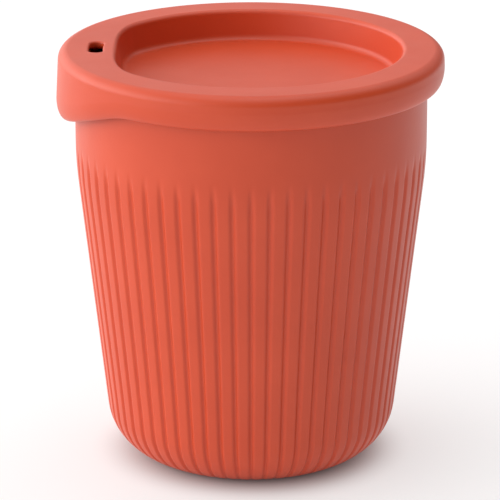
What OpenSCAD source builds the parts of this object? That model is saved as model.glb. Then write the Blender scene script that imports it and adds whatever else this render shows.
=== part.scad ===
// Grooved double-wall cup with a press-on sip lid. Millimetres, +Z up, base centre at the origin.
// The sip slot and its apron face -X.

/* [Cup] */
// Height of the cup's rim above the table
cup_h = 102.8; // [90:0.1:130]
// Outer radius of the smooth collar under the rim
collar_r = 44.2; // [38:0.1:54]
// Outer radius that the tapered wall would reach at table height
base_r = 35.3; // [30:0.1:44]
// Height where the tapered wall meets the upright collar
taper_top_z = 77.5; // [60:0.5:100]
// Radius of the round corner between wall and base
base_round = 14.6; // [8:0.1:20]
// Wall thickness of the outer shell
shell_t = 1.8; // [1.6:0.1:3]
// Floor thickness of the outer shell at its standing ring
shell_floor_t = 2.4; // [2:0.1:4]
// Depth of the hollow under the base
base_hollow = 0.8; // [0.4:0.1:1.2]
// Width of the flat ring that the cup stands on
stand_w = 3.4; // [2:0.1:8]

/* [Grooves] */
// Number of grooves round the cup
groove_count = 60; // [36:1:72]
// Width of one groove
groove_w = 1.6; // [0.8:0.1:2.2]
// Depth of one groove on the straight wall
groove_d = 0.55; // [0.3:0.05:0.9]
// Height above the table where the grooves begin
groove_start_z = 0.8; // [0.5:0.1:6]

/* [Liner] */
// Wall thickness of the inner liner
liner_t = 1.5; // [1.2:0.1:2.4]
// Floor thickness of the inner liner
liner_floor_t = 1.6; // [1.2:0.1:3]
// Air gap between the walls at the foot of the liner
air_gap = 3; // [1.5:0.1:5]
// Air gap between the two floors
floor_gap = 2.6; // [1.5:0.1:5]
// Amount by which the liner's inside corner is tighter than the shell's
corner_ease = 1; // [0:0.1:3]
// Height of the liner's upright neck above the top of the taper
neck_lift = 8.7; // [6:0.1:16]
// Height of the rolled rim
rim_h = 2.6; // [2.4:0.1:5]
// Amount by which the rolled rim stands out past the collar
rim_out = 1; // [0.4:0.1:1.2]

/* [Lid] */
// Wall thickness of the lid
lid_t = 2; // [1.6:0.1:3]
// Clearance between the cup's rolled rim and the lid's skirt
rim_gap = 0.4; // [0.3:0.05:1]
// Depth of the lid's skirt below its snap ridge
skirt_below = 1.5; // [1:0.1:5]
// Radius of the lid's round shoulder
shoulder_r = 2.6; // [1.5:0.1:6]
// Thickness of the lid's skirt
skirt_t = 3; // [1.6:0.1:4]
// Depth of the sunk well
well_depth = 7.8; // [3:0.1:9]
// Clearance between the well's wall and the cup's mouth
well_gap = 0.95; // [0.5:0.05:4]
// Distance from the sip slot to the back of the ledge's wall
ledge_margin = 0.6; // [0.5:0.1:4]
// Outward lean of the skirt, in degrees
skirt_lean = 3; // [0:0.5:6]
// Size of the bevel on the skirt's outer lower edge
skirt_ease = 1.2; // [0.4:0.1:1.5]
// Depth of the drinking apron below the skirt's edge
apron_drop = 8.3; // [3:0.1:9]
// Distance from the drinking side to where the skirt starts to dip into the apron
apron_reach = 33; // [20:0.5:45]

/* [Sip slot and vent] */
// Width of the sip slot towards the lid's axis
slot_w = 4.5; // [4.2:0.1:5]
// Length of the sip slot along the rim
slot_l = 10.5; // [8:0.5:18]
// Diameter of the vent hole in the well's floor
vent_d = 2.4; // [1.5:0.1:4]
// Distance from the vent's middle to the well's wall
vent_in = 8; // [4:0.5:20]

/* [Seal] */
// Height of the seal ring
seal_h = 1.8; // [1.6:0.1:3]
// Width of the seal ring
seal_w = 1.6; // [1.2:0.1:2]
// Depth of the seal's groove in the lid
seal_seat = 0.4; // [0.3:0.05:0.8]
// Clearance between the seal and the sides of its groove
seal_fit = 0.05; // [0.02:0.01:0.1]
// Distance from the cup's mouth out to the seal
seal_inset = 0.75; // [0.5:0.05:1.5]

/* [Hidden] */
$fn = 96;
eps = 0.01;
far = 200;

// Outer shell
taper = atan((collar_r - base_r) / taper_top_z);
round_c_r = base_r + base_round * tan(taper) - base_round / cos(taper);
shell_top = cup_h - rim_h;
stand_r = round_c_r;
hollow_r = stand_r - stand_w;
groove_in = groove_d / cos(taper);
groove_pitch = 360 / groove_count;
plate_r = base_r - base_round;
plate_top = taper_top_z + 1.5 * groove_in / tan(taper);

// Liner
neck_gap = 0.15;
neck_r = collar_r - shell_t - neck_gap;
mouth_r = neck_r - liner_t;
neck_z = taper_top_z + neck_lift;
liner_z = shell_floor_t + floor_gap;
liner_round = base_round - shell_t - corner_ease;
liner_base_z = base_round;
liner_base_r = base_r + liner_base_z * tan(taper) - shell_t / cos(taper) - air_gap;
liner_taper = atan((neck_r - liner_base_r) / (neck_z - liner_base_z));
liner_foot_r = liner_base_r - (liner_base_z - liner_z) * tan(liner_taper);
liner_out_round = liner_round + liner_t;
rim_r = collar_r + rim_out;
rim_edge = 1.2;

// Seal
seal_z = cup_h;
seal_in_r = mouth_r + seal_inset;
seal_out_r = seal_in_r + seal_w;

// Lid
skirt_in_r = rim_r + rim_gap;
lid_r = skirt_in_r + skirt_t;
lid_under = seal_z + seal_h - seal_seat;
lid_top = lid_under + lid_t;
snap_fit = 0.2;
snap_drop = 0.6;
snap_round = 0.5;
snap_r = rim_r + snap_fit;
snap_z = shell_top - snap_drop - snap_round;
skirt_z = snap_z - skirt_below;
shoulder_c_z = lid_top - shoulder_r;
edge_z = skirt_z + skirt_ease;
sweep_rise = 1.5;
neck_of_lid_r = lid_r - (shoulder_c_z - edge_z) * tan(skirt_lean);
shoulder_c_r = neck_of_lid_r - shoulder_r;
seal_land = 0.2;
under_round = skirt_in_r - seal_out_r - seal_land;
well_r = mouth_r - well_gap - lid_t;
well_edge = 1.2;
well_draft = 0.6;
well_floor = lid_top - well_depth;

// Sip slot, ledge and vent
slot_inset = 0.15;
slot_out_r = mouth_r - slot_inset;
slot_mid_r = slot_out_r - slot_w / 2;
slot_turn = (slot_l - slot_w) / slot_mid_r * 90 / PI;
ledge_back = slot_out_r - slot_w - ledge_margin;
ledge_x = ledge_back - lid_t;
vent_x = well_r - vent_in;

// Slice of a disc between two directions, drawn at its centre
module pie(r, from, to) {
    reach = 2 * r;
    middle = (from + to) / 2;
    intersection() {
        circle(r);
        polygon([
            [0, 0],
            [reach * cos(from), reach * sin(from)],
            [reach * cos(middle), reach * sin(middle)],
            [reach * cos(to), reach * sin(to)]
        ]);
    }
}

// Half section of a tapered cup with a round base corner, filled in to its axis
module cup_half(foot_r, lean, foot_z, corner, neck, top) {
    c_r = foot_r + corner * tan(lean) - corner / cos(lean);
    c_z = foot_z + corner;
    neck_z = foot_z + (neck - foot_r) / tan(lean);
    polygon([
        [0, foot_z],
        [c_r, foot_z],
        [c_r + corner * cos(lean), c_z - corner * sin(lean)],
        [neck, neck_z],
        [neck, top],
        [0, top]
    ]);
    translate([c_r, c_z])
        pie(corner, -90, -lean);
}

// Thin upright plates, one for each groove, kept outside the bottoms of the grooves
module groove_cutters() {
    difference() {
        for (i = [0 : groove_count - 1])
            rotate([0, 0, i * groove_pitch])
                translate([plate_r, -groove_w / 2, groove_start_z])
                    cube([collar_r, groove_w, plate_top - groove_start_z]);
        rotate_extrude()
            cup_half(base_r - groove_in, taper, 0, base_round, collar_r + eps, cup_h);
    }
}

// Grooved outer cup
module outer_shell() {
    color("#d4633f")
        difference() {
            rotate_extrude()
                difference() {
                    cup_half(base_r, taper, 0, base_round, collar_r, shell_top);
                    cup_half(
                        base_r + shell_floor_t * tan(taper) - shell_t / cos(taper),
                        taper,
                        shell_floor_t,
                        base_round - shell_t,
                        collar_r - shell_t,
                        far
                    );
                    translate([0, -far])
                        square([hollow_r, far + base_hollow]);
                }
            groove_cutters();
        }
}

// Half section of the rolled rim that hangs the liner on the shell
module rim_half() {
    translate([mouth_r, shell_top])
        square([rim_r - mouth_r, rim_h - rim_edge]);
    translate([mouth_r + rim_edge, shell_top])
        square([rim_r - mouth_r - 2 * rim_edge, rim_h]);
    translate([mouth_r + rim_edge, cup_h - rim_edge])
        pie(rim_edge, 90, 180);
    translate([rim_r - rim_edge, cup_h - rim_edge])
        pie(rim_edge, 0, 90);
}

// Cup that holds the drink
module inner_liner() {
    color("#cf5f3c")
        rotate_extrude()
            union() {
                difference() {
                    cup_half(liner_foot_r, liner_taper, liner_z, liner_out_round, neck_r, cup_h - rim_edge);
                    cup_half(
                        liner_foot_r + liner_floor_t * tan(liner_taper) - liner_t / cos(liner_taper),
                        liner_taper,
                        liner_z + liner_floor_t,
                        liner_round,
                        mouth_r,
                        far
                    );
                }
                rim_half();
            }
}

// Half section of the lid without its ledge: skirt, shoulder, rim, well wall and well floor
module lid_half() {
    wall_out = well_r + lid_t;
    difference() {
        union() {
            polygon([
                [0, skirt_z],
                [lid_r - skirt_ease, skirt_z],
                [lid_r, edge_z],
                [neck_of_lid_r, shoulder_c_z],
                [shoulder_c_r, lid_top],
                [0, lid_top]
            ]);
            translate([shoulder_c_r, shoulder_c_z])
                pie(shoulder_r, 0, 90);
            translate([0, well_floor - lid_t])
                square([wall_out, well_depth + lid_t]);
        }
        // Well
        polygon([
            [0, well_floor],
            [well_r - well_draft, well_floor],
            [well_r, lid_top - well_edge],
            [well_r, far],
            [0, far]
        ]);
        // Round edge of the well
        difference() {
            translate([well_r - eps, lid_top - well_edge])
                square([well_edge + eps, well_edge + eps]);
            translate([well_r + well_edge, lid_top - well_edge])
                circle(well_edge);
        }
        // Space under the floor and the channel that the cup's rim goes into
        polygon([
            [0, -far],
            [skirt_in_r, -far],
            [skirt_in_r, lid_under - under_round],
            [skirt_in_r - under_round, lid_under - under_round],
            [skirt_in_r - under_round, lid_under],
            [wall_out, lid_under],
            [wall_out - well_draft, well_floor - lid_t],
            [0, well_floor - lid_t]
        ]);
        translate([skirt_in_r - under_round, lid_under - under_round])
            pie(under_round, 0, 90);
    }
    // Ridge that keeps the lid under the rolled rim
    translate([snap_r + snap_round, snap_z])
        intersection() {
            circle(snap_round);
            translate([-far, -far])
                square([far + skirt_in_r - snap_r - snap_round + 0.4, 2 * far]);
        }
}

// Part of the lid on the drinking side of an upright plane, out to a radius, between two heights
module ledge_zone(from_x, r, low, high) {
    intersection() {
        translate([0, 0, low])
            cylinder(r = r, h = high - low);
        translate([-far, -far, low - 1])
            cube([far - from_x, 2 * far, high - low + 2]);
    }
}

// Curved slot through the drinking ledge
module sip_slot() {
    slot_low = lid_under - 1;
    slot_h = lid_t + 2;
    translate([0, 0, slot_low]) {
        rotate([0, 0, 180 - slot_turn])
            rotate_extrude(angle = 2 * slot_turn)
                translate([slot_mid_r - slot_w / 2, 0])
                    square([slot_w, slot_h]);
        for (side = [-1, 1])
            rotate([0, 0, 180 + side * slot_turn])
                translate([slot_mid_r, 0, 0])
                    cylinder(d = slot_w, h = slot_h);
    }
}

// Deeper part of the skirt below the sip slot. Its lower edge sweeps down in one long curve
module apron() {
    low = skirt_z - apron_drop;
    wall_mid_r = (skirt_in_r + lid_r) / 2;
    dip = edge_z + sweep_rise - low;
    dip_x = lid_r - apron_reach;
    dip_r = (apron_reach * apron_reach + dip * dip) / (2 * dip);
    intersection() {
        rotate_extrude()
            polygon([
                [skirt_in_r, low],
                [lid_r + (edge_z - low) * tan(skirt_lean), low],
                [lid_r, edge_z],
                [wall_mid_r, edge_z],
                [wall_mid_r, skirt_z + skirt_ease / 2],
                [skirt_in_r, skirt_z + skirt_ease / 2]
            ]);
        rotate([90, 0, 0])
            linear_extrude(height = 2 * far, center = true)
                difference() {
                    translate([-far, low - 1])
                        square([far - dip_x, dip + 2]);
                    translate([-dip_x, low + dip - dip_r])
                        circle(dip_r);
                }
    }
}

// Press-on lid
module lid() {
    color("#d96a45")
        difference() {
            union() {
                difference() {
                    rotate_extrude()
                        lid_half();
                    ledge_zone(ledge_back, well_r + lid_t + 0.5, well_floor - lid_t - 1, lid_under);
                }
                // Ledge top
                ledge_zone(ledge_x, well_r + 1.5 * well_edge, lid_under, lid_top);
                // Straight side of the well
                intersection() {
                    ledge_zone(ledge_x, well_r + lid_t - well_draft, well_floor - lid_t, lid_top);
                    translate([-ledge_back, -far, 0])
                        cube([lid_t, 2 * far, far]);
                }
                apron();
            }
            sip_slot();
            translate([vent_x, 0, well_floor - lid_t - 1])
                cylinder(d = vent_d, h = lid_t + 2, $fn = 48);
            // Groove for the seal
            translate([0, 0, lid_under - 1])
                difference() {
                    cylinder(r = seal_out_r + seal_fit, h = seal_seat + 1);
                    translate([0, 0, -1])
                        cylinder(r = seal_in_r - seal_fit, h = seal_seat + 3);
                }
        }
}

// Soft ring between the lid and the cup's rim
module lid_seal() {
    bevel = 0.25;
    color("#d9cfc4")
        rotate_extrude()
            polygon([
                [seal_in_r, seal_z + bevel],
                [seal_in_r + bevel, seal_z],
                [seal_out_r - bevel, seal_z],
                [seal_out_r, seal_z + bevel],
                [seal_out_r, seal_z + seal_h],
                [seal_in_r, seal_z + seal_h]
            ]);
}

outer_shell();
inner_liner();
lid();
lid_seal();
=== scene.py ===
"""Looks of a grooved double-wall cup with a press-on sip lid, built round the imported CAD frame."""

import math

import bmesh
import bpy
import numpy as np
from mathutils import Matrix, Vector


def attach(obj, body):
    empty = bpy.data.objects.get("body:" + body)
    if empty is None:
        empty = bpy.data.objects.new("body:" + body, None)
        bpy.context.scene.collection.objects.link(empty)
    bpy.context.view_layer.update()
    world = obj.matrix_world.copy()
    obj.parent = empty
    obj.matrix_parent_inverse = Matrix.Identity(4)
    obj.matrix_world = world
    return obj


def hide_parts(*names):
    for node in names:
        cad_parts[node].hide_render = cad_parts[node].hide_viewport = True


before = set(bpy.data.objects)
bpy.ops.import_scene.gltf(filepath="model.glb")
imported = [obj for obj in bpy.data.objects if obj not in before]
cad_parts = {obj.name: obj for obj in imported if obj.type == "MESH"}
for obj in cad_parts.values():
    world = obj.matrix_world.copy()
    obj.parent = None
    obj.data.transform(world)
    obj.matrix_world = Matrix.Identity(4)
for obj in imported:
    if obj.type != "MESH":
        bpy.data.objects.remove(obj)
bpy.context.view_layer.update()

MM = 0.001  # one millimetre in the frame's metres

# Cup sizes in millimetres, the same as the CAD model's
CUP_H = 102.8
COLLAR_R = 44.2
BASE_R = 35.3
TAPER_TOP = 77.5
BASE_ROUND = 14.6
SHELL_T = 1.8
SHELL_FLOOR = 2.4
BASE_HOLLOW = 0.8
STAND_W = 3.4
GROOVES = 60
GROOVE_DEPTH = 0.55
LINER_T = 1.5
LINER_FLOOR_T = 1.6
AIR_GAP = 3.0
FLOOR_GAP = 2.6
CORNER_EASE = 1.0
NECK_GAP = 0.15
NECK_LIFT = 8.7
RIM_H = 2.6
RIM_OUT = 1.0
RIM_EDGE = 1.2

# Seal and lid sizes, the same as the CAD model's
SEAL_H = 1.8
SEAL_W = 1.6
SEAL_SEAT = 0.4
SEAL_FIT = 0.05
SEAL_INSET = 0.75
SEAL_LAND = 0.2
LID_T = 2.0
RIM_GAP = 0.4
SKIRT_T = 3.0
SKIRT_BELOW = 1.5
SKIRT_LEAN = math.radians(3)
SKIRT_EASE = 1.2
SNAP_DROP = 0.6
SNAP_ROUND = 0.5
SHOULDER_R = 2.6
WELL_GAP = 0.95
WELL_DEPTH = 7.8
WELL_EDGE = 1.2
WELL_DRAFT = 0.6
APRON_DROP = 8.3
APRON_REACH = 33.0
SWEEP_RISE = 1.5
SLOT_INSET = 0.15
LEDGE_BACK = 5.1  # from the slot's outer edge back to the well's wall: the CAD's slot and its margin
VENT_R = 1.2
VENT_IN = 8.0

# Sip slot as the photograph shows it: narrower than the CAD model's, with the same outer edge
SLOT_W = 3.5
SLOT_L = 10.5

# Worked out from those sizes, as in the CAD model
TAPER = math.atan((COLLAR_R - BASE_R) / TAPER_TOP)
STAND_R = BASE_R + BASE_ROUND * math.tan(TAPER) - BASE_ROUND / math.cos(TAPER)
SHELL_TOP = CUP_H - RIM_H
NECK_R = COLLAR_R - SHELL_T - NECK_GAP
NECK_Z = TAPER_TOP + NECK_LIFT
MOUTH_R = NECK_R - LINER_T
LINER_FOOT_Z = SHELL_FLOOR + FLOOR_GAP
LINER_ROUND = BASE_ROUND - SHELL_T - CORNER_EASE
LINER_BASE_R = BASE_R + BASE_ROUND * math.tan(TAPER) - SHELL_T / math.cos(TAPER) - AIR_GAP
RIM_R = COLLAR_R + RIM_OUT
SEAL_IN_R = MOUTH_R + SEAL_INSET
SEAL_OUT_R = SEAL_IN_R + SEAL_W
SKIRT_IN_R = RIM_R + RIM_GAP
LID_R = SKIRT_IN_R + SKIRT_T
LID_UNDER = CUP_H + SEAL_H - SEAL_SEAT
LID_TOP = LID_UNDER + LID_T
SNAP_Z = SHELL_TOP - SNAP_DROP - SNAP_ROUND
SKIRT_Z = SNAP_Z - SKIRT_BELOW
UNDER_ROUND = SKIRT_IN_R - SEAL_OUT_R - SEAL_LAND
WELL_R = MOUTH_R - WELL_GAP - LID_T
WELL_FLOOR = LID_TOP - WELL_DEPTH
SLOT_OUT_R = MOUTH_R - SLOT_INSET
SLOT_MID_R = SLOT_OUT_R - SLOT_W / 2
LEDGE_X = SLOT_OUT_R - LEDGE_BACK - LID_T
VENT_X = WELL_R - VENT_IN

# Mark that the mould's gate leaves in the middle of a moulding: a nub in a shallow dimple
GATE_R = 2.4
GATE_DEPTH = 0.4
NUB_R = 0.8
NUB_H = 0.25

# Loops of the meshes
ROUND_STEPS = 240  # points round the liner and the seal
MIDDLE_R = 4.0  # radius of the innermost loop on a flat floor
HOLD = 0.2  # distance from a rounded edge to the loop that keeps its shading off the flat beside it
SHARP = math.radians(38)  # two faces that meet more steeply than this keep a sharp edge


# Shape helpers. A profile is a list of (radius, height) points in millimetres.
def arc(centre, radius, start, end, steps):
    """Points on a round stretch of a profile, between two directions in degrees."""
    angles = np.radians(np.linspace(start, end, steps + 1))
    return [(centre[0] + radius * math.cos(a), centre[1] + radius * math.sin(a)) for a in angles]


def straight(start, end, steps):
    return [tuple(p) for p in np.linspace(start, end, steps + 1)]


def without_repeats(points):
    kept = [points[0]]
    for p in points[1:]:
        if math.dist(p, kept[-1]) > 1e-4:
            kept.append(p)
    return kept


def gate_mark(z):
    """Outline of a gate mark in an underside at height z, from its nub out."""
    dimple_z = z + GATE_DEPTH
    nub = [(0.6 * NUB_R, dimple_z - NUB_H), (NUB_R, dimple_z - 0.6 * NUB_H), (1.1 * NUB_R, dimple_z)]
    return nub + [(0.8 * GATE_R, dimple_z), (0.92 * GATE_R, z + 0.5 * GATE_DEPTH), (GATE_R, z)]


def ring(radius, height, angles):
    """One loop of points: radius and height may each vary round the loop."""
    heights = np.broadcast_to(height, angles.shape)
    return np.stack([radius * np.cos(angles), radius * np.sin(angles), heights], axis=1)


def skin(name, loops, first_pole=None, last_pole=None, wrap=False):
    """Closed mesh through loops of equally many points, ending in poles or joined into a ring."""
    rows = len(loops)
    columns = len(loops[0])
    points = np.concatenate(loops)
    faces = []
    for i in range(rows if wrap else rows - 1):
        a = i * columns
        b = (i + 1) % rows * columns
        for j in range(columns):
            k = (j + 1) % columns
            faces.append((a + j, a + k, b + k, b + j))
    for pole, row in ((first_pole, 0), (last_pole, rows - 1)):
        if pole is None:
            continue
        points = np.concatenate([points, [pole]])
        top = len(points) - 1
        faces += [(row * columns + j, row * columns + (j + 1) % columns, top) for j in range(columns)]
    mesh = bpy.data.meshes.new(name)
    mesh.from_pydata((points * MM).tolist(), [], faces)
    return finish_mesh(mesh)


def finish_mesh(mesh):
    """Faces outward and smooth, with edges kept sharp where two faces meet steeply."""
    work = bmesh.new()
    work.from_mesh(mesh)
    bmesh.ops.recalc_face_normals(work, faces=work.faces)
    for face in work.faces:
        face.smooth = True
    for edge in work.edges:
        edge.smooth = len(edge.link_faces) == 2 and edge.calc_face_angle() < SHARP
    work.to_mesh(mesh)
    work.free()
    return mesh


def piece(name, mesh, body, node, material):
    """Puts a mesh in the scene in place of a CAD node, riding on a body."""
    obj = bpy.data.objects.new(name, mesh)
    bpy.context.scene.collection.objects.link(obj)
    obj.data.materials.append(material)
    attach(obj, body)
    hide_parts(node)
    return obj


# Materials
def linear(code):
    """An sRGB hex colour as the linear values that Blender's sockets take."""
    parts = [int(code[i:i + 2], 16) / 255 for i in (1, 3, 5)]
    return tuple(c / 12.92 if c <= 0.04045 else ((c + 0.055) / 1.055) ** 2.4 for c in parts) + (1.0,)


def add(tree, kind, links=None, **settings):
    """Adds a node. Settings go to its attributes or its input sockets, and links joins inputs to outputs."""
    node = tree.nodes.new(kind)
    for key, value in settings.items():
        if hasattr(node, key):
            setattr(node, key, value)
        else:
            node.inputs[key.replace("_", " ")].default_value = value
    for key, socket in (links or {}).items():
        tree.links.new(socket, node.inputs[key])
    return node


def blank_material(name):
    material = bpy.data.materials.new(name)
    material.use_nodes = True
    tree = material.node_tree
    tree.nodes.clear()
    return material, tree


CLOUD_MM = 22  # width of the clouds that the dye leaves where it flowed
PATCH_MM = 9  # width of duller and shinier patches
PATCH_SWING = 0.05  # how far the roughness swings between them


def moulded_polypropylene(name, deep, pale, roughness, grain_mm, grain_lift_mm):
    """Dyed polypropylene from a mould. The eye gets a soft, waxy, even colour with a broad pale sheen, faint
    clouds where the dye flowed, and a fine grain that breaks up the highlights."""
    material, tree = blank_material(name)
    place = {"Vector": add(tree, "ShaderNodeTexCoord").outputs["Object"]}
    clouds = add(tree, "ShaderNodeTexNoise", place, Scale=1 / (CLOUD_MM * MM), Detail=3.0, Roughness=0.55)
    colour = add(tree, "ShaderNodeValToRGB", {"Fac": clouds.outputs["Fac"]})
    ends = colour.color_ramp.elements
    ends[0].position = 0.3
    ends[0].color = linear(deep)
    ends[1].position = 0.7
    ends[1].color = linear(pale)
    patches = add(tree, "ShaderNodeTexNoise", place, Scale=1 / (PATCH_MM * MM), Detail=4.0, Roughness=0.6)
    gloss = add(
        tree,
        "ShaderNodeMapRange",
        {"Value": patches.outputs["Fac"]},
        To_Min=roughness - PATCH_SWING,
        To_Max=roughness + PATCH_SWING,
    )
    grain = add(tree, "ShaderNodeTexNoise", place, Scale=1 / (grain_mm * MM), Detail=2.0, Roughness=0.5)
    bump = add(
        tree,
        "ShaderNodeBump",
        {"Height": grain.outputs["Fac"]},
        Strength=1.0,
        Distance=grain_lift_mm * MM,
    )
    shader = add(
        tree,
        "ShaderNodeBsdfPrincipled",
        {
            "Base Color": colour.outputs["Color"],
            "Roughness": gloss.outputs["Result"],
            "Normal": bump.outputs["Normal"],
        },
        IOR=1.49,
        Metallic=0.0,
    )
    add(tree, "ShaderNodeOutputMaterial", {"Surface": shader.outputs["BSDF"]})
    return material


BLOOM_MM = 3  # width of the paler clouds in the silicone


def moulded_silicone(name, deep, pale):
    """Milky silicone from a polished mould. The eye gets a soft off-white that light sinks into, with a dull
    sheen."""
    material, tree = blank_material(name)
    place = {"Vector": add(tree, "ShaderNodeTexCoord").outputs["Object"]}
    bloom = add(tree, "ShaderNodeTexNoise", place, Scale=1 / (BLOOM_MM * MM), Detail=3.0)
    tint = add(tree, "ShaderNodeValToRGB", {"Fac": bloom.outputs["Fac"]})
    tint.color_ramp.elements[0].color = linear(deep)
    tint.color_ramp.elements[1].color = linear(pale)
    shader = add(
        tree,
        "ShaderNodeBsdfPrincipled",
        {"Base Color": tint.outputs["Color"]},
        IOR=1.41,
        Roughness=0.55,
        Subsurface_Weight=0.3,
        Subsurface_Scale=2 * MM,
    )
    add(tree, "ShaderNodeOutputMaterial", {"Surface": shader.outputs["BSDF"]})
    return material


# The shell and lid are from an eroded mould: the eye gets a satin that spreads the light. Its grain is
# really about 0.1 mm, too fine to show, so it is drawn 0.45 mm wide. The liner is from a polished mould:
# the eye gets a clearer sheen with a slight ripple.
SATIN = (0.4, 0.45, 0.02)  # roughness, then the grain's width and height in millimetres
SMOOTH = (0.34, 0.8, 0.01)
shell_plastic = moulded_polypropylene("polypropylene_moulded_satin_coral", "#cb4521", "#d14a26", *SATIN)
lid_plastic = moulded_polypropylene("polypropylene_moulded_lid_coral", "#cb4521", "#d14a26", *SATIN)
liner_plastic = moulded_polypropylene("polypropylene_moulded_smooth_coral", "#c64422", "#cc4927", *SMOOTH)
seal_silicone = moulded_silicone("silicone_moulded_milky", "#cfc6bb", "#e6ded4")


# Grooved outer shell
GROOVE_HALF = 0.24  # half width of a groove, as a share of the spacing between grooves
TAPER_BEND = 6.0  # height below and above the top of the taper over which it turns upright
RING_STEP = 0.35  # radius of the two roundings between the standing ring and the hollow
SHELL_BEVEL = 0.3  # bevel of the shell's top edge
RUN_OUT_FROM = 0.25  # steepness at which a groove starts on the base corner
RUN_OUT_OVER = 0.6  # rise in steepness over which it gets to its full depth

# Directions across one groove, in spacings from its middle, close together where it is cut
groove_across = np.append(np.linspace(0, 0.8, 6), [1.0, 1.3]) * GROOVE_HALF
one_groove = np.concatenate([-groove_across[:0:-1], groove_across, [0.42, 0.5]])
groove_angles = (np.arange(GROOVES)[:, None] + one_groove[None, :]).ravel() * 2 * math.pi / GROOVES
groove_cut = np.tile(np.cos(np.clip(one_groove / GROOVE_HALF, -1, 1) * math.pi / 2) ** 2, GROOVES)


def shell_outside():
    """Outline of the shell from the gate mark in its underside to its top edge."""
    hollow_r = STAND_R - STAND_W
    line = gate_mark(BASE_HOLLOW)
    line += straight((MIDDLE_R, BASE_HOLLOW), (hollow_r - RING_STEP, BASE_HOLLOW), 4)
    line += arc((hollow_r - RING_STEP, BASE_HOLLOW - RING_STEP), RING_STEP, 90, 0, 3)
    line += arc((hollow_r + RING_STEP, RING_STEP), RING_STEP, 180, 270, 3)
    line += straight((hollow_r + 2 * RING_STEP, 0), (STAND_R, 0), 3)
    line += arc((STAND_R, BASE_ROUND), BASE_ROUND, -90, -math.degrees(TAPER), 26)
    low = TAPER_TOP - TAPER_BEND
    line += straight(line[-1], (BASE_R + low * math.tan(TAPER), low), 14)
    for t in np.linspace(0, 1, 9)[1:]:
        line.append((COLLAR_R - TAPER_BEND * math.tan(TAPER) * (1 - t) ** 2, low + 2 * TAPER_BEND * t))
    line += straight(line[-1], (COLLAR_R, TAPER_TOP + 2 * TAPER_BEND), 4)
    line += straight(line[-1], (COLLAR_R, SHELL_TOP - SHELL_BEVEL), 5)
    return without_repeats(line)


def shell_inside():
    """Outline of the shell's hidden inside, from its top edge to the middle of its floor."""
    wall_r = COLLAR_R - SHELL_T
    foot_r = BASE_R + SHELL_FLOOR * math.tan(TAPER) - SHELL_T / math.cos(TAPER)
    corner_r = BASE_ROUND - SHELL_T
    corner = (foot_r + corner_r * math.tan(TAPER) - corner_r / math.cos(TAPER), SHELL_FLOOR + corner_r)
    neck_z = SHELL_FLOOR + (wall_r - foot_r) / math.tan(TAPER)
    line = [(COLLAR_R - SHELL_BEVEL, SHELL_TOP), (wall_r, SHELL_TOP), (wall_r, neck_z)]
    line += arc(corner, corner_r, -math.degrees(TAPER), -90, 8)
    return line + [(MIDDLE_R, SHELL_FLOOR)]


def along(points):
    """Direction of an outline at each of its points."""
    slope = np.gradient(points, axis=0)
    return slope / np.hypot(slope[:, 0], slope[:, 1])[:, None]


def groove_depths(points):
    """Depth of the grooves along an outline: full on the taper, running out on the collar and base corner."""
    z = points[:, 1]
    depth = np.clip(GROOVE_DEPTH - (z - TAPER_TOP) * math.tan(TAPER), 0, GROOVE_DEPTH)
    upright = np.abs(along(points)[:, 1])
    run_out = np.clip((upright - RUN_OUT_FROM) / RUN_OUT_OVER, 0, 1)
    corner = np.where(z < BASE_ROUND, run_out, 1.0)
    past_ring = points[:, 0] > STAND_R
    return depth * corner * past_ring


def build_shell():
    outside = np.array(shell_outside())
    slope = along(outside)
    loops = []
    for (r, z), depth, (out, up) in zip(outside, groove_depths(outside), slope):
        cut = depth * groove_cut
        loops.append(ring(r - up * cut, z + out * cut, groove_angles))
    loops += [ring(r, z, groove_angles) for r, z in shell_inside()]
    nub_z = BASE_HOLLOW + GATE_DEPTH - NUB_H
    mesh = skin("shell_grooved", loops, (0, 0, nub_z), (0, 0, SHELL_FLOOR))
    piece("shell_grooved", mesh, "cup", "outer_shell", shell_plastic)


# Liner that holds the drink, with its rolled rim
RIM_BEVEL = 0.3  # bevel of the rolled rim's lower edge
NECK_SOFT = 3.0  # height over which the liner's wall bends into its upright neck


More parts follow.
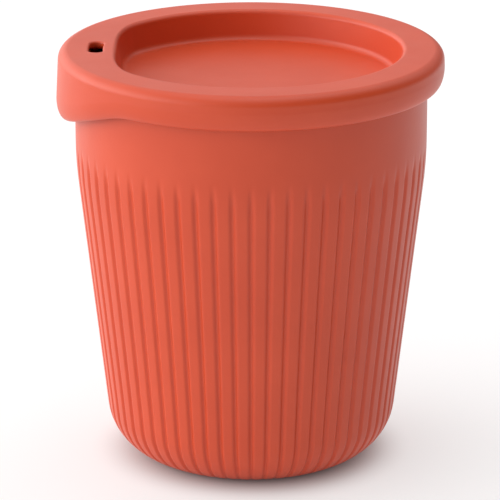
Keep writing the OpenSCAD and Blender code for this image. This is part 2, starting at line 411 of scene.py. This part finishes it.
def build_liner():
    angles = np.linspace(0, 2 * math.pi, ROUND_STEPS, endpoint=False)
    lean = math.atan((NECK_R - LINER_BASE_R) / (NECK_Z - BASE_ROUND))
    foot_r = LINER_BASE_R - (BASE_ROUND - LINER_FOOT_Z) * math.tan(lean)
    out_round = LINER_ROUND + LINER_T
    out_corner = (foot_r + out_round * math.tan(lean) - out_round / math.cos(lean), LINER_FOOT_Z + out_round)
    floor_z = LINER_FOOT_Z + LINER_FLOOR_T
    in_r = foot_r + LINER_FLOOR_T * math.tan(lean) - LINER_T / math.cos(lean)
    in_corner = (in_r + LINER_ROUND * math.tan(lean) - LINER_ROUND / math.cos(lean), floor_z + LINER_ROUND)
    neck_in_z = floor_z + (MOUTH_R - in_r) / math.tan(lean)
    edge_z = CUP_H - RIM_EDGE
    # Outside, up to the rolled rim
    line = [(MIDDLE_R, LINER_FOOT_Z)]
    line += arc(out_corner, out_round, -90, -math.degrees(lean), 8)
    line += [(NECK_R, NECK_Z), (NECK_R, SHELL_TOP)]
    # Rolled rim
    line += [(RIM_R - RIM_BEVEL, SHELL_TOP), (RIM_R, SHELL_TOP + RIM_BEVEL), (RIM_R, edge_z - HOLD)]
    line += arc((RIM_R - RIM_EDGE, edge_z), RIM_EDGE, 0, 90, 8)
    line += straight((RIM_R - RIM_EDGE - HOLD, CUP_H), (MOUTH_R + RIM_EDGE + HOLD, CUP_H), 2)
    line += arc((MOUTH_R + RIM_EDGE, edge_z), RIM_EDGE, 90, 180, 8)
    # Inside, down to the floor
    line += straight((MOUTH_R, edge_z - HOLD), (MOUTH_R, neck_in_z + NECK_SOFT), 5)
    line.append((MOUTH_R, neck_in_z + NECK_SOFT / 3))
    line.append((MOUTH_R - NECK_SOFT * math.tan(lean), neck_in_z - NECK_SOFT))
    line += arc(in_corner, LINER_ROUND, -math.degrees(lean), -90, 16)
    line += straight((in_corner[0] - HOLD, floor_z), (MIDDLE_R, floor_z), 3)
    loops = [ring(r, z, angles) for r, z in without_repeats(line)]
    mesh = skin("liner_rolled_rim", loops, (0, 0, LINER_FOOT_Z), (0, 0, floor_z))
    piece("liner_rolled_rim", mesh, "cup", "inner_liner", liner_plastic)


# Soft ring under the lid
SEAL_SOFT = 0.3  # radius of its lower edges, which press on the rim
SEAL_BEVEL = 0.15  # bevel of its upper edges, which sit in the lid


def build_seal():
    angles = np.linspace(0, 2 * math.pi, ROUND_STEPS, endpoint=False)
    soft_z = CUP_H + SEAL_SOFT
    high = CUP_H + SEAL_H
    line = arc((SEAL_OUT_R - SEAL_SOFT, soft_z), SEAL_SOFT, -90, 0, 4)
    line += [(SEAL_OUT_R, high - SEAL_BEVEL), (SEAL_OUT_R - SEAL_BEVEL, high)]
    line += [(SEAL_IN_R + SEAL_BEVEL, high), (SEAL_IN_R, high - SEAL_BEVEL)]
    line += arc((SEAL_IN_R + SEAL_SOFT, soft_z), SEAL_SOFT, 180, 270, 4)
    loops = [ring(r, z, angles) for r, z in without_repeats(line)]
    mesh = skin("seal_ring", loops, wrap=True)
    piece("seal_ring", mesh, "seal", "lid_seal", seal_silicone)


# Lid
WELL_CORNER = 4.0  # radius where the well's straight side meets its round wall
WELL_FILLET = 1.6  # radius between the well's wall and its floor
EDGE_BY = 1.7  # how far in the skirt's long lower rounding goes on its outside
EDGE_UP = 4.5  # how high that rounding goes
EDGE_IN = 0.4  # radius of the skirt's lower edge on its inside
RIDGE_BY = 0.2  # how far the snap ridge stands in from the skirt
RIDGE_HALF = 0.45  # half of the snap ridge's height
UNDER_FILLET = 0.6  # radius of the corners under the lid
SWEEP_SOFT = 0.3  # softness of the bend where the skirt's edge starts to sweep down
HALVINGS = 50  # steps in which the well's outline is found


def lid_directions():
    """Directions round the lid, closer together near the ends of the ledge and the apron."""
    from_sip = np.concatenate([np.arange(0, 14, 0.7), np.arange(14, 34, 0.4), np.arange(34, 180, 1.0)])
    both_ways = np.concatenate([from_sip, -from_sip[1:], [180.0]])
    return np.radians(np.sort(both_ways) + 180.0)


lid_angles = lid_directions()


def well_radius(offset):
    """Distance from the axis to the well's outline, grown by offset, in each direction of the lid."""
    low = np.zeros_like(lid_angles)
    high = np.full_like(lid_angles, LID_R)
    for _ in range(HALVINGS):
        middle = (low + high) / 2
        past_round = middle - WELL_R + WELL_CORNER
        past_straight = -middle * np.cos(lid_angles) - LEDGE_X + WELL_CORNER
        past_both = np.hypot(np.maximum(past_round, 0), np.maximum(past_straight, 0))
        inside = np.minimum(np.maximum(past_round, past_straight), 0) + past_both - WELL_CORNER < offset
        low = np.where(inside, middle, low)
        high = np.where(inside, high, middle)
    return (low + high) / 2


def skirt_edge():
    """Height of the skirt's lower edge: it sweeps down into the apron below the sip slot."""
    start = SKIRT_Z + SKIRT_EASE + SWEEP_RISE
    dip = start - SKIRT_Z + APRON_DROP
    sweep_r = (APRON_REACH ** 2 + dip ** 2) / (2 * dip)
    past = np.clip(-LID_R * np.cos(lid_angles) - LID_R + APRON_REACH, 0, APRON_REACH)
    swept = start - sweep_r + np.sqrt(sweep_r ** 2 - past ** 2)
    return SKIRT_Z - SWEEP_SOFT * np.log1p(np.exp((SKIRT_Z - swept) / SWEEP_SOFT))


def skirt_out(z):
    """Radius of the skirt's leaning outside at a height."""
    return LID_R + (SKIRT_Z + SKIRT_EASE - z) * math.tan(SKIRT_LEAN)


def lid_loop(r, z):
    return ring(r, z, lid_angles)


def well_loop(offset, z, share=1.0, start_r=0.0):
    """Loop along the well's outline, grown by offset, or a share of the way out to it from a circle."""
    return lid_loop(start_r + share * (well_radius(offset) - start_r), z)


def well_loops():
    """Well floor from the middle out, then its fillet, wall and rounded edge."""
    floor_edge = -WELL_DRAFT - WELL_FILLET
    fillet_z = WELL_FLOOR + WELL_FILLET
    edge_z = LID_TOP - WELL_EDGE
    loops = [well_loop(floor_edge, WELL_FLOOR, t) for t in (0.12, 0.3, 0.5, 0.7, 0.88, 0.985)]
    loops += [well_loop(grow, z) for grow, z in arc((floor_edge, fillet_z), WELL_FILLET, -90, 0, 7)]
    loops += [well_loop(-WELL_DRAFT * (1 - t), fillet_z + t * (edge_z - fillet_z)) for t in (0.3, 0.6, 0.9)]
    loops += [well_loop(grow, z) for grow, z in arc((WELL_EDGE, edge_z), WELL_EDGE, 180, 90, 8)]
    return loops


def rim_loops():
    """Flat top of the rim and ledge, then the round shoulder."""
    shoulder_z = LID_TOP - SHOULDER_R
    shoulder_in = skirt_out(shoulder_z) - SHOULDER_R
    shares = (0.97, 0.85, 0.7, 0.55, 0.4, 0.25, 0.1, 0.03)
    loops = [well_loop(WELL_EDGE, LID_TOP, t, shoulder_in) for t in shares]
    loops += [lid_loop(r, z) for r, z in arc((shoulder_in, shoulder_z), SHOULDER_R, 90, 0, 18)]
    return loops


def skirt_loops():
    """Outside of the skirt, its lower edge, then its inside with the snap ridge."""
    edge_z = skirt_edge()
    shoulder_z = LID_TOP - SHOULDER_R
    round_z = edge_z + EDGE_UP
    loops = []
    for t in (0.05, 0.35, 0.65, 0.95):
        z = shoulder_z + t * (round_z - shoulder_z)
        loops.append(lid_loop(skirt_out(z), z))
    for by, up in arc((-1, 0), 1, 0, -90, 16):
        loops.append(lid_loop(skirt_out(round_z) + EDGE_BY * by, round_z + EDGE_UP * up))
    for r, up in arc((SKIRT_IN_R + EDGE_IN, EDGE_IN), EDGE_IN, 270, 180, 4):
        loops.append(lid_loop(r, edge_z + up))
    inside_z = edge_z + EDGE_IN
    ridge_z = SNAP_Z - RIDGE_HALF
    loops += [lid_loop(SKIRT_IN_R, inside_z + t * (ridge_z - inside_z)) for t in (0.1, 0.5, 0.9)]
    for t in np.linspace(-1, 1, 9):
        r = SKIRT_IN_R - RIDGE_BY * math.cos(t * math.pi / 2) ** 2
        loops.append(lid_loop(r, SNAP_Z + RIDGE_HALF * t))
    return loops


def underside_loops():
    """Channel for the cup's rim, groove for the seal, outside of the well, then the underside of it."""
    channel_z = LID_UNDER - UNDER_ROUND
    channel_r = SKIRT_IN_R - UNDER_ROUND
    loops = [lid_loop(SKIRT_IN_R, channel_z - HOLD)]
    loops += [lid_loop(r, z) for r, z in arc((channel_r, channel_z), UNDER_ROUND, 0, 90, 6)]
    groove_out = SEAL_OUT_R + SEAL_FIT
    groove_in = SEAL_IN_R - SEAL_FIT
    seat_z = LID_UNDER + SEAL_SEAT
    for r, z in ((groove_out, LID_UNDER), (groove_out, seat_z), (groove_in, seat_z), (groove_in, LID_UNDER)):
        loops.append(lid_loop(r, z))
    wall_top = LID_T + UNDER_FILLET
    loops += [well_loop(wall_top, LID_UNDER, t, groove_in) for t in (0.4, 0.9)]
    for grow, z in arc((wall_top, LID_UNDER - UNDER_FILLET), UNDER_FILLET, 90, 180, 4):
        loops.append(well_loop(grow, z))
    floor_z = WELL_FLOOR - LID_T
    wall_foot = LID_T - WELL_DRAFT
    above_foot = UNDER_FILLET + HOLD / 2
    loops.append(well_loop(wall_foot + WELL_DRAFT * above_foot / WELL_DEPTH, floor_z + above_foot))
    floor_edge = wall_foot - UNDER_FILLET
    for grow, z in arc((floor_edge, floor_z + UNDER_FILLET), UNDER_FILLET, 0, -90, 4):
        loops.append(well_loop(grow, z))
    loops += [well_loop(floor_edge, floor_z, t) for t in (0.98, 0.85, 0.65, 0.45, 0.25)]
    loops += [lid_loop(r, z) for r, z in reversed(gate_mark(floor_z))]
    return loops


def build_lid():
    loops = well_loops() + rim_loops() + skirt_loops() + underside_loops()
    nub_z = WELL_FLOOR - LID_T + GATE_DEPTH - NUB_H
    mesh = skin("lid_sip", loops, (0, 0, WELL_FLOOR), (0, 0, nub_z))
    lid = piece("lid_sip", mesh, "lid", "lid", lid_plastic)
    cut_hole(lid, "sip_slot_cutter", sip_slot_cutter(), (-SLOT_MID_R, 0))
    cut_hole(lid, "vent_cutter", vent_cutter(), (VENT_X, 0))


# Holes in the lid, with rounded edges
SLOT_SOFT = (0.5, 0.9)  # radius of the slot's upper edge, then of its lower edge
VENT_SOFT = (0.35, 0.2)  # the same for the vent
FLARE_TURN = 82  # how far a rounded edge turns, in degrees, before it meets the flat face
FLARE_ON = 0.5  # how far a cutter runs on past the edge in the same direction
CUT_ABOVE = 2.0  # how far a cutter stands above the top face
CUT_BELOW = 1.2  # how far it reaches below the bottom face


def edge_flare(top, bottom, soft):
    """Growth and height of a hole's outline, from above the top face to below the bottom face."""
    soft_top, soft_bottom = soft
    turns = np.radians(np.linspace(FLARE_TURN, 0, 7))
    upper = [(soft_top * (1 - math.cos(a)), top - soft_top * (1 - math.sin(a))) for a in turns]
    lower = [(soft_bottom * (1 - math.cos(a)), bottom + soft_bottom * (1 - math.sin(a))) for a in turns[::-1]]
    on_out = FLARE_ON * math.sin(turns[0])
    on_up = FLARE_ON * math.cos(turns[0])
    top_grow = upper[0][0] + on_out
    bottom_grow = lower[-1][0] + on_out
    above = [(top_grow, top + CUT_ABOVE), (top_grow, upper[0][1] + on_up)]
    below = [(bottom_grow, lower[-1][1] - on_up), (bottom_grow, bottom - CUT_BELOW)]
    return above + upper + lower + below


def sip_slot_cutter():
    """Loops of a slot bent round the lid's axis, worked out as complex numbers. Pi faces the sip side."""
    turn = (SLOT_L - SLOT_W) / 2 / SLOT_MID_R
    sweep = np.linspace(-turn, turn, 25)
    half_round = np.linspace(0, math.pi, 17)[1:-1]
    first_middle = SLOT_MID_R * np.exp(1j * (math.pi + turn))
    last_middle = SLOT_MID_R * np.exp(1j * (math.pi - turn))
    loops = []
    for grow, z in edge_flare(LID_TOP, LID_UNDER, SLOT_SOFT):
        half = SLOT_W / 2 + grow
        outer = (SLOT_MID_R + half) * np.exp(1j * (math.pi + sweep))
        first_end = first_middle + half * np.exp(1j * (math.pi + turn + half_round))
        inner = (SLOT_MID_R - half) * np.exp(1j * (math.pi - sweep))
        last_end = last_middle + half * np.exp(1j * (half_round - turn))
        points = np.concatenate([outer, first_end, inner, last_end])
        loops.append(np.stack([points.real, points.imag, np.full(len(points), z)], axis=1))
    return loops


def vent_cutter():
    angles = np.linspace(0, 2 * math.pi, 40, endpoint=False)
    loops = []
    for grow, z in edge_flare(WELL_FLOOR, WELL_FLOOR - LID_T, VENT_SOFT):
        loops.append(ring(VENT_R + grow, z, angles) + (VENT_X, 0, 0))
    return loops


def cut_hole(obj, name, loops, middle):
    """Takes a cutter's volume out of the piece's mesh."""
    mesh = skin(name, loops, (*middle, loops[0][0][2]), (*middle, loops[-1][0][2]))
    tool = bpy.data.objects.new(name, mesh)
    bpy.context.scene.collection.objects.link(tool)
    cut = obj.modifiers.new(name, "BOOLEAN")
    cut.operation = "DIFFERENCE"
    cut.solver = "EXACT"
    cut.object = tool
    bpy.context.view_layer.update()
    result = bpy.data.meshes.new_from_object(obj.evaluated_get(bpy.context.evaluated_depsgraph_get()))
    obj.modifiers.remove(cut)
    old = obj.data
    result.name = old.name
    obj.data = finish_mesh(result)
    bpy.data.meshes.remove(old)
    bpy.data.objects.remove(tool)
    bpy.data.meshes.remove(mesh)


build_shell()
build_liner()
build_seal()
build_lid()


# Floor, light and camera
FLOOR_HALF = 6.0  # half of the floor's side, in metres
FLOOR_PAINTED_GLOW = 0.46  # strength of the floor's painted glow: light painted into the floor, not a lamp
GLOW_START = 22.0  # distance from the cup's axis, in millimetres, where the glow starts; nearer in, the floor without glow is a painted contact shadow
GLOW_FULL = 42.0  # distance where it is full
CARD_SPREAD = 8.0  # power of the cosine by which a card's light falls off to its sides
# White cards round the table. Turn is counted from the camera round by the right, rise from the table up.
CARDS = (
    # turn, rise, level
    (250, 12, 2.8),
    (275, 12, 1.7),
    (202, 12, 1.2),
    (305, 12, 2.3),
    (135, 45, 1.1),
    (225, 45, 0.5),
    (0, 45, 0.5),
    (0, 90, 2.1),
)


def floor_with_painted_glow(name):
    """Matt floor that glows with painted light, except where the cup stands. The glow paints the shadows
    round the cup pale and neutral, and where it is left out it paints a dark contact shadow under the cup."""
    material, tree = blank_material(name)
    place = add(tree, "ShaderNodeTexCoord").outputs["Object"]
    distance = add(tree, "ShaderNodeVectorMath", {0: place}, operation="LENGTH")
    # Painted light: the floor's glow, which fades out near the cup to paint a contact shadow
    glow = add(
        tree,
        "ShaderNodeMapRange",
        {"Value": distance.outputs["Value"]},
        interpolation_type="SMOOTHSTEP",
        From_Min=GLOW_START * MM,
        From_Max=GLOW_FULL * MM,
        To_Max=FLOOR_PAINTED_GLOW,
    )
    shader = add(
        tree,
        "ShaderNodeBsdfPrincipled",
        {"Emission Strength": glow.outputs["Result"]},
        Roughness=0.9,
        Base_Color=linear("#bcbcbc"),
        Emission_Color=linear("#ffffff"),
    )
    add(tree, "ShaderNodeOutputMaterial", {"Surface": shader.outputs["BSDF"]})
    return material


def build_floor():
    mesh = bpy.data.meshes.new("floor_card")
    corners = [(x * FLOOR_HALF, y * FLOOR_HALF, 0) for x, y in ((-1, -1), (1, -1), (1, 1), (-1, 1))]
    mesh.from_pydata(corners, [], [(0, 1, 2, 3)])
    floor = bpy.data.objects.new("floor_card", mesh)
    floor.data.materials.append(floor_with_painted_glow("floor_matt_painted_glow"))
    bpy.context.scene.collection.objects.link(floor)


def build_light():
    """White studio: bright cards low on the left, one overhead, and paler ones behind and in front."""
    world = bpy.data.worlds.new("studio_white")
    world.use_nodes = True
    tree = world.node_tree
    toward = add(tree, "ShaderNodeTexCoord").outputs["Generated"]
    total = None
    for turn, rise, level in CARDS:
        round_by = math.radians(turn)
        up_by = math.radians(rise)
        facing = add(tree, "ShaderNodeVectorMath", {0: toward}, operation="DOT_PRODUCT")
        facing.inputs[1].default_value = (
            math.sin(round_by) * math.cos(up_by),
            -math.cos(round_by) * math.cos(up_by),
            math.sin(up_by),
        )
        ahead = add(tree, "ShaderNodeMath", {0: facing.outputs["Value"]}, operation="MAXIMUM")
        ahead.inputs[1].default_value = 0.0
        spread = add(tree, "ShaderNodeMath", {0: ahead.outputs["Value"]}, operation="POWER")
        spread.inputs[1].default_value = CARD_SPREAD
        light = add(tree, "ShaderNodeMath", {0: spread.outputs["Value"]}, operation="MULTIPLY_ADD")
        light.inputs[1].default_value = level
        light.inputs[2].default_value = 0.0
        if total:
            tree.links.new(total.outputs["Value"], light.inputs[2])
        total = light
    background = tree.nodes["Background"]
    background.inputs["Color"].default_value = linear("#ffffff")
    tree.links.new(total.outputs["Value"], background.inputs["Strength"])
    bpy.context.scene.world = world


# The photograph's camera: a long lens, a little above the lid. Places are in metres.
CAMERA_DISTANCE = 0.9
CAMERA_RISE = math.radians(18.0)
CAMERA_LENS = 254.5
CAMERA_SENSOR = 36.0
CAMERA_NEAR = 0.01
CAMERA_FAR = 20.0
AIM = Vector((-0.0003, 0.0, 0.0528))


def build_camera():
    camera = bpy.data.cameras.new("camera")
    camera.lens = CAMERA_LENS
    camera.sensor_width = CAMERA_SENSOR
    camera.clip_start = CAMERA_NEAR
    camera.clip_end = CAMERA_FAR
    obj = bpy.data.objects.new("camera", camera)
    back = Vector((0, -math.cos(CAMERA_RISE), math.sin(CAMERA_RISE)))
    obj.location = AIM + back * CAMERA_DISTANCE
    obj.rotation_euler = (-back).to_track_quat("-Z", "Y").to_euler()
    bpy.context.scene.collection.objects.link(obj)
    bpy.context.scene.camera = obj


build_floor()
build_light()
build_camera()
bpy.context.scene.view_settings.view_transform = "Standard"
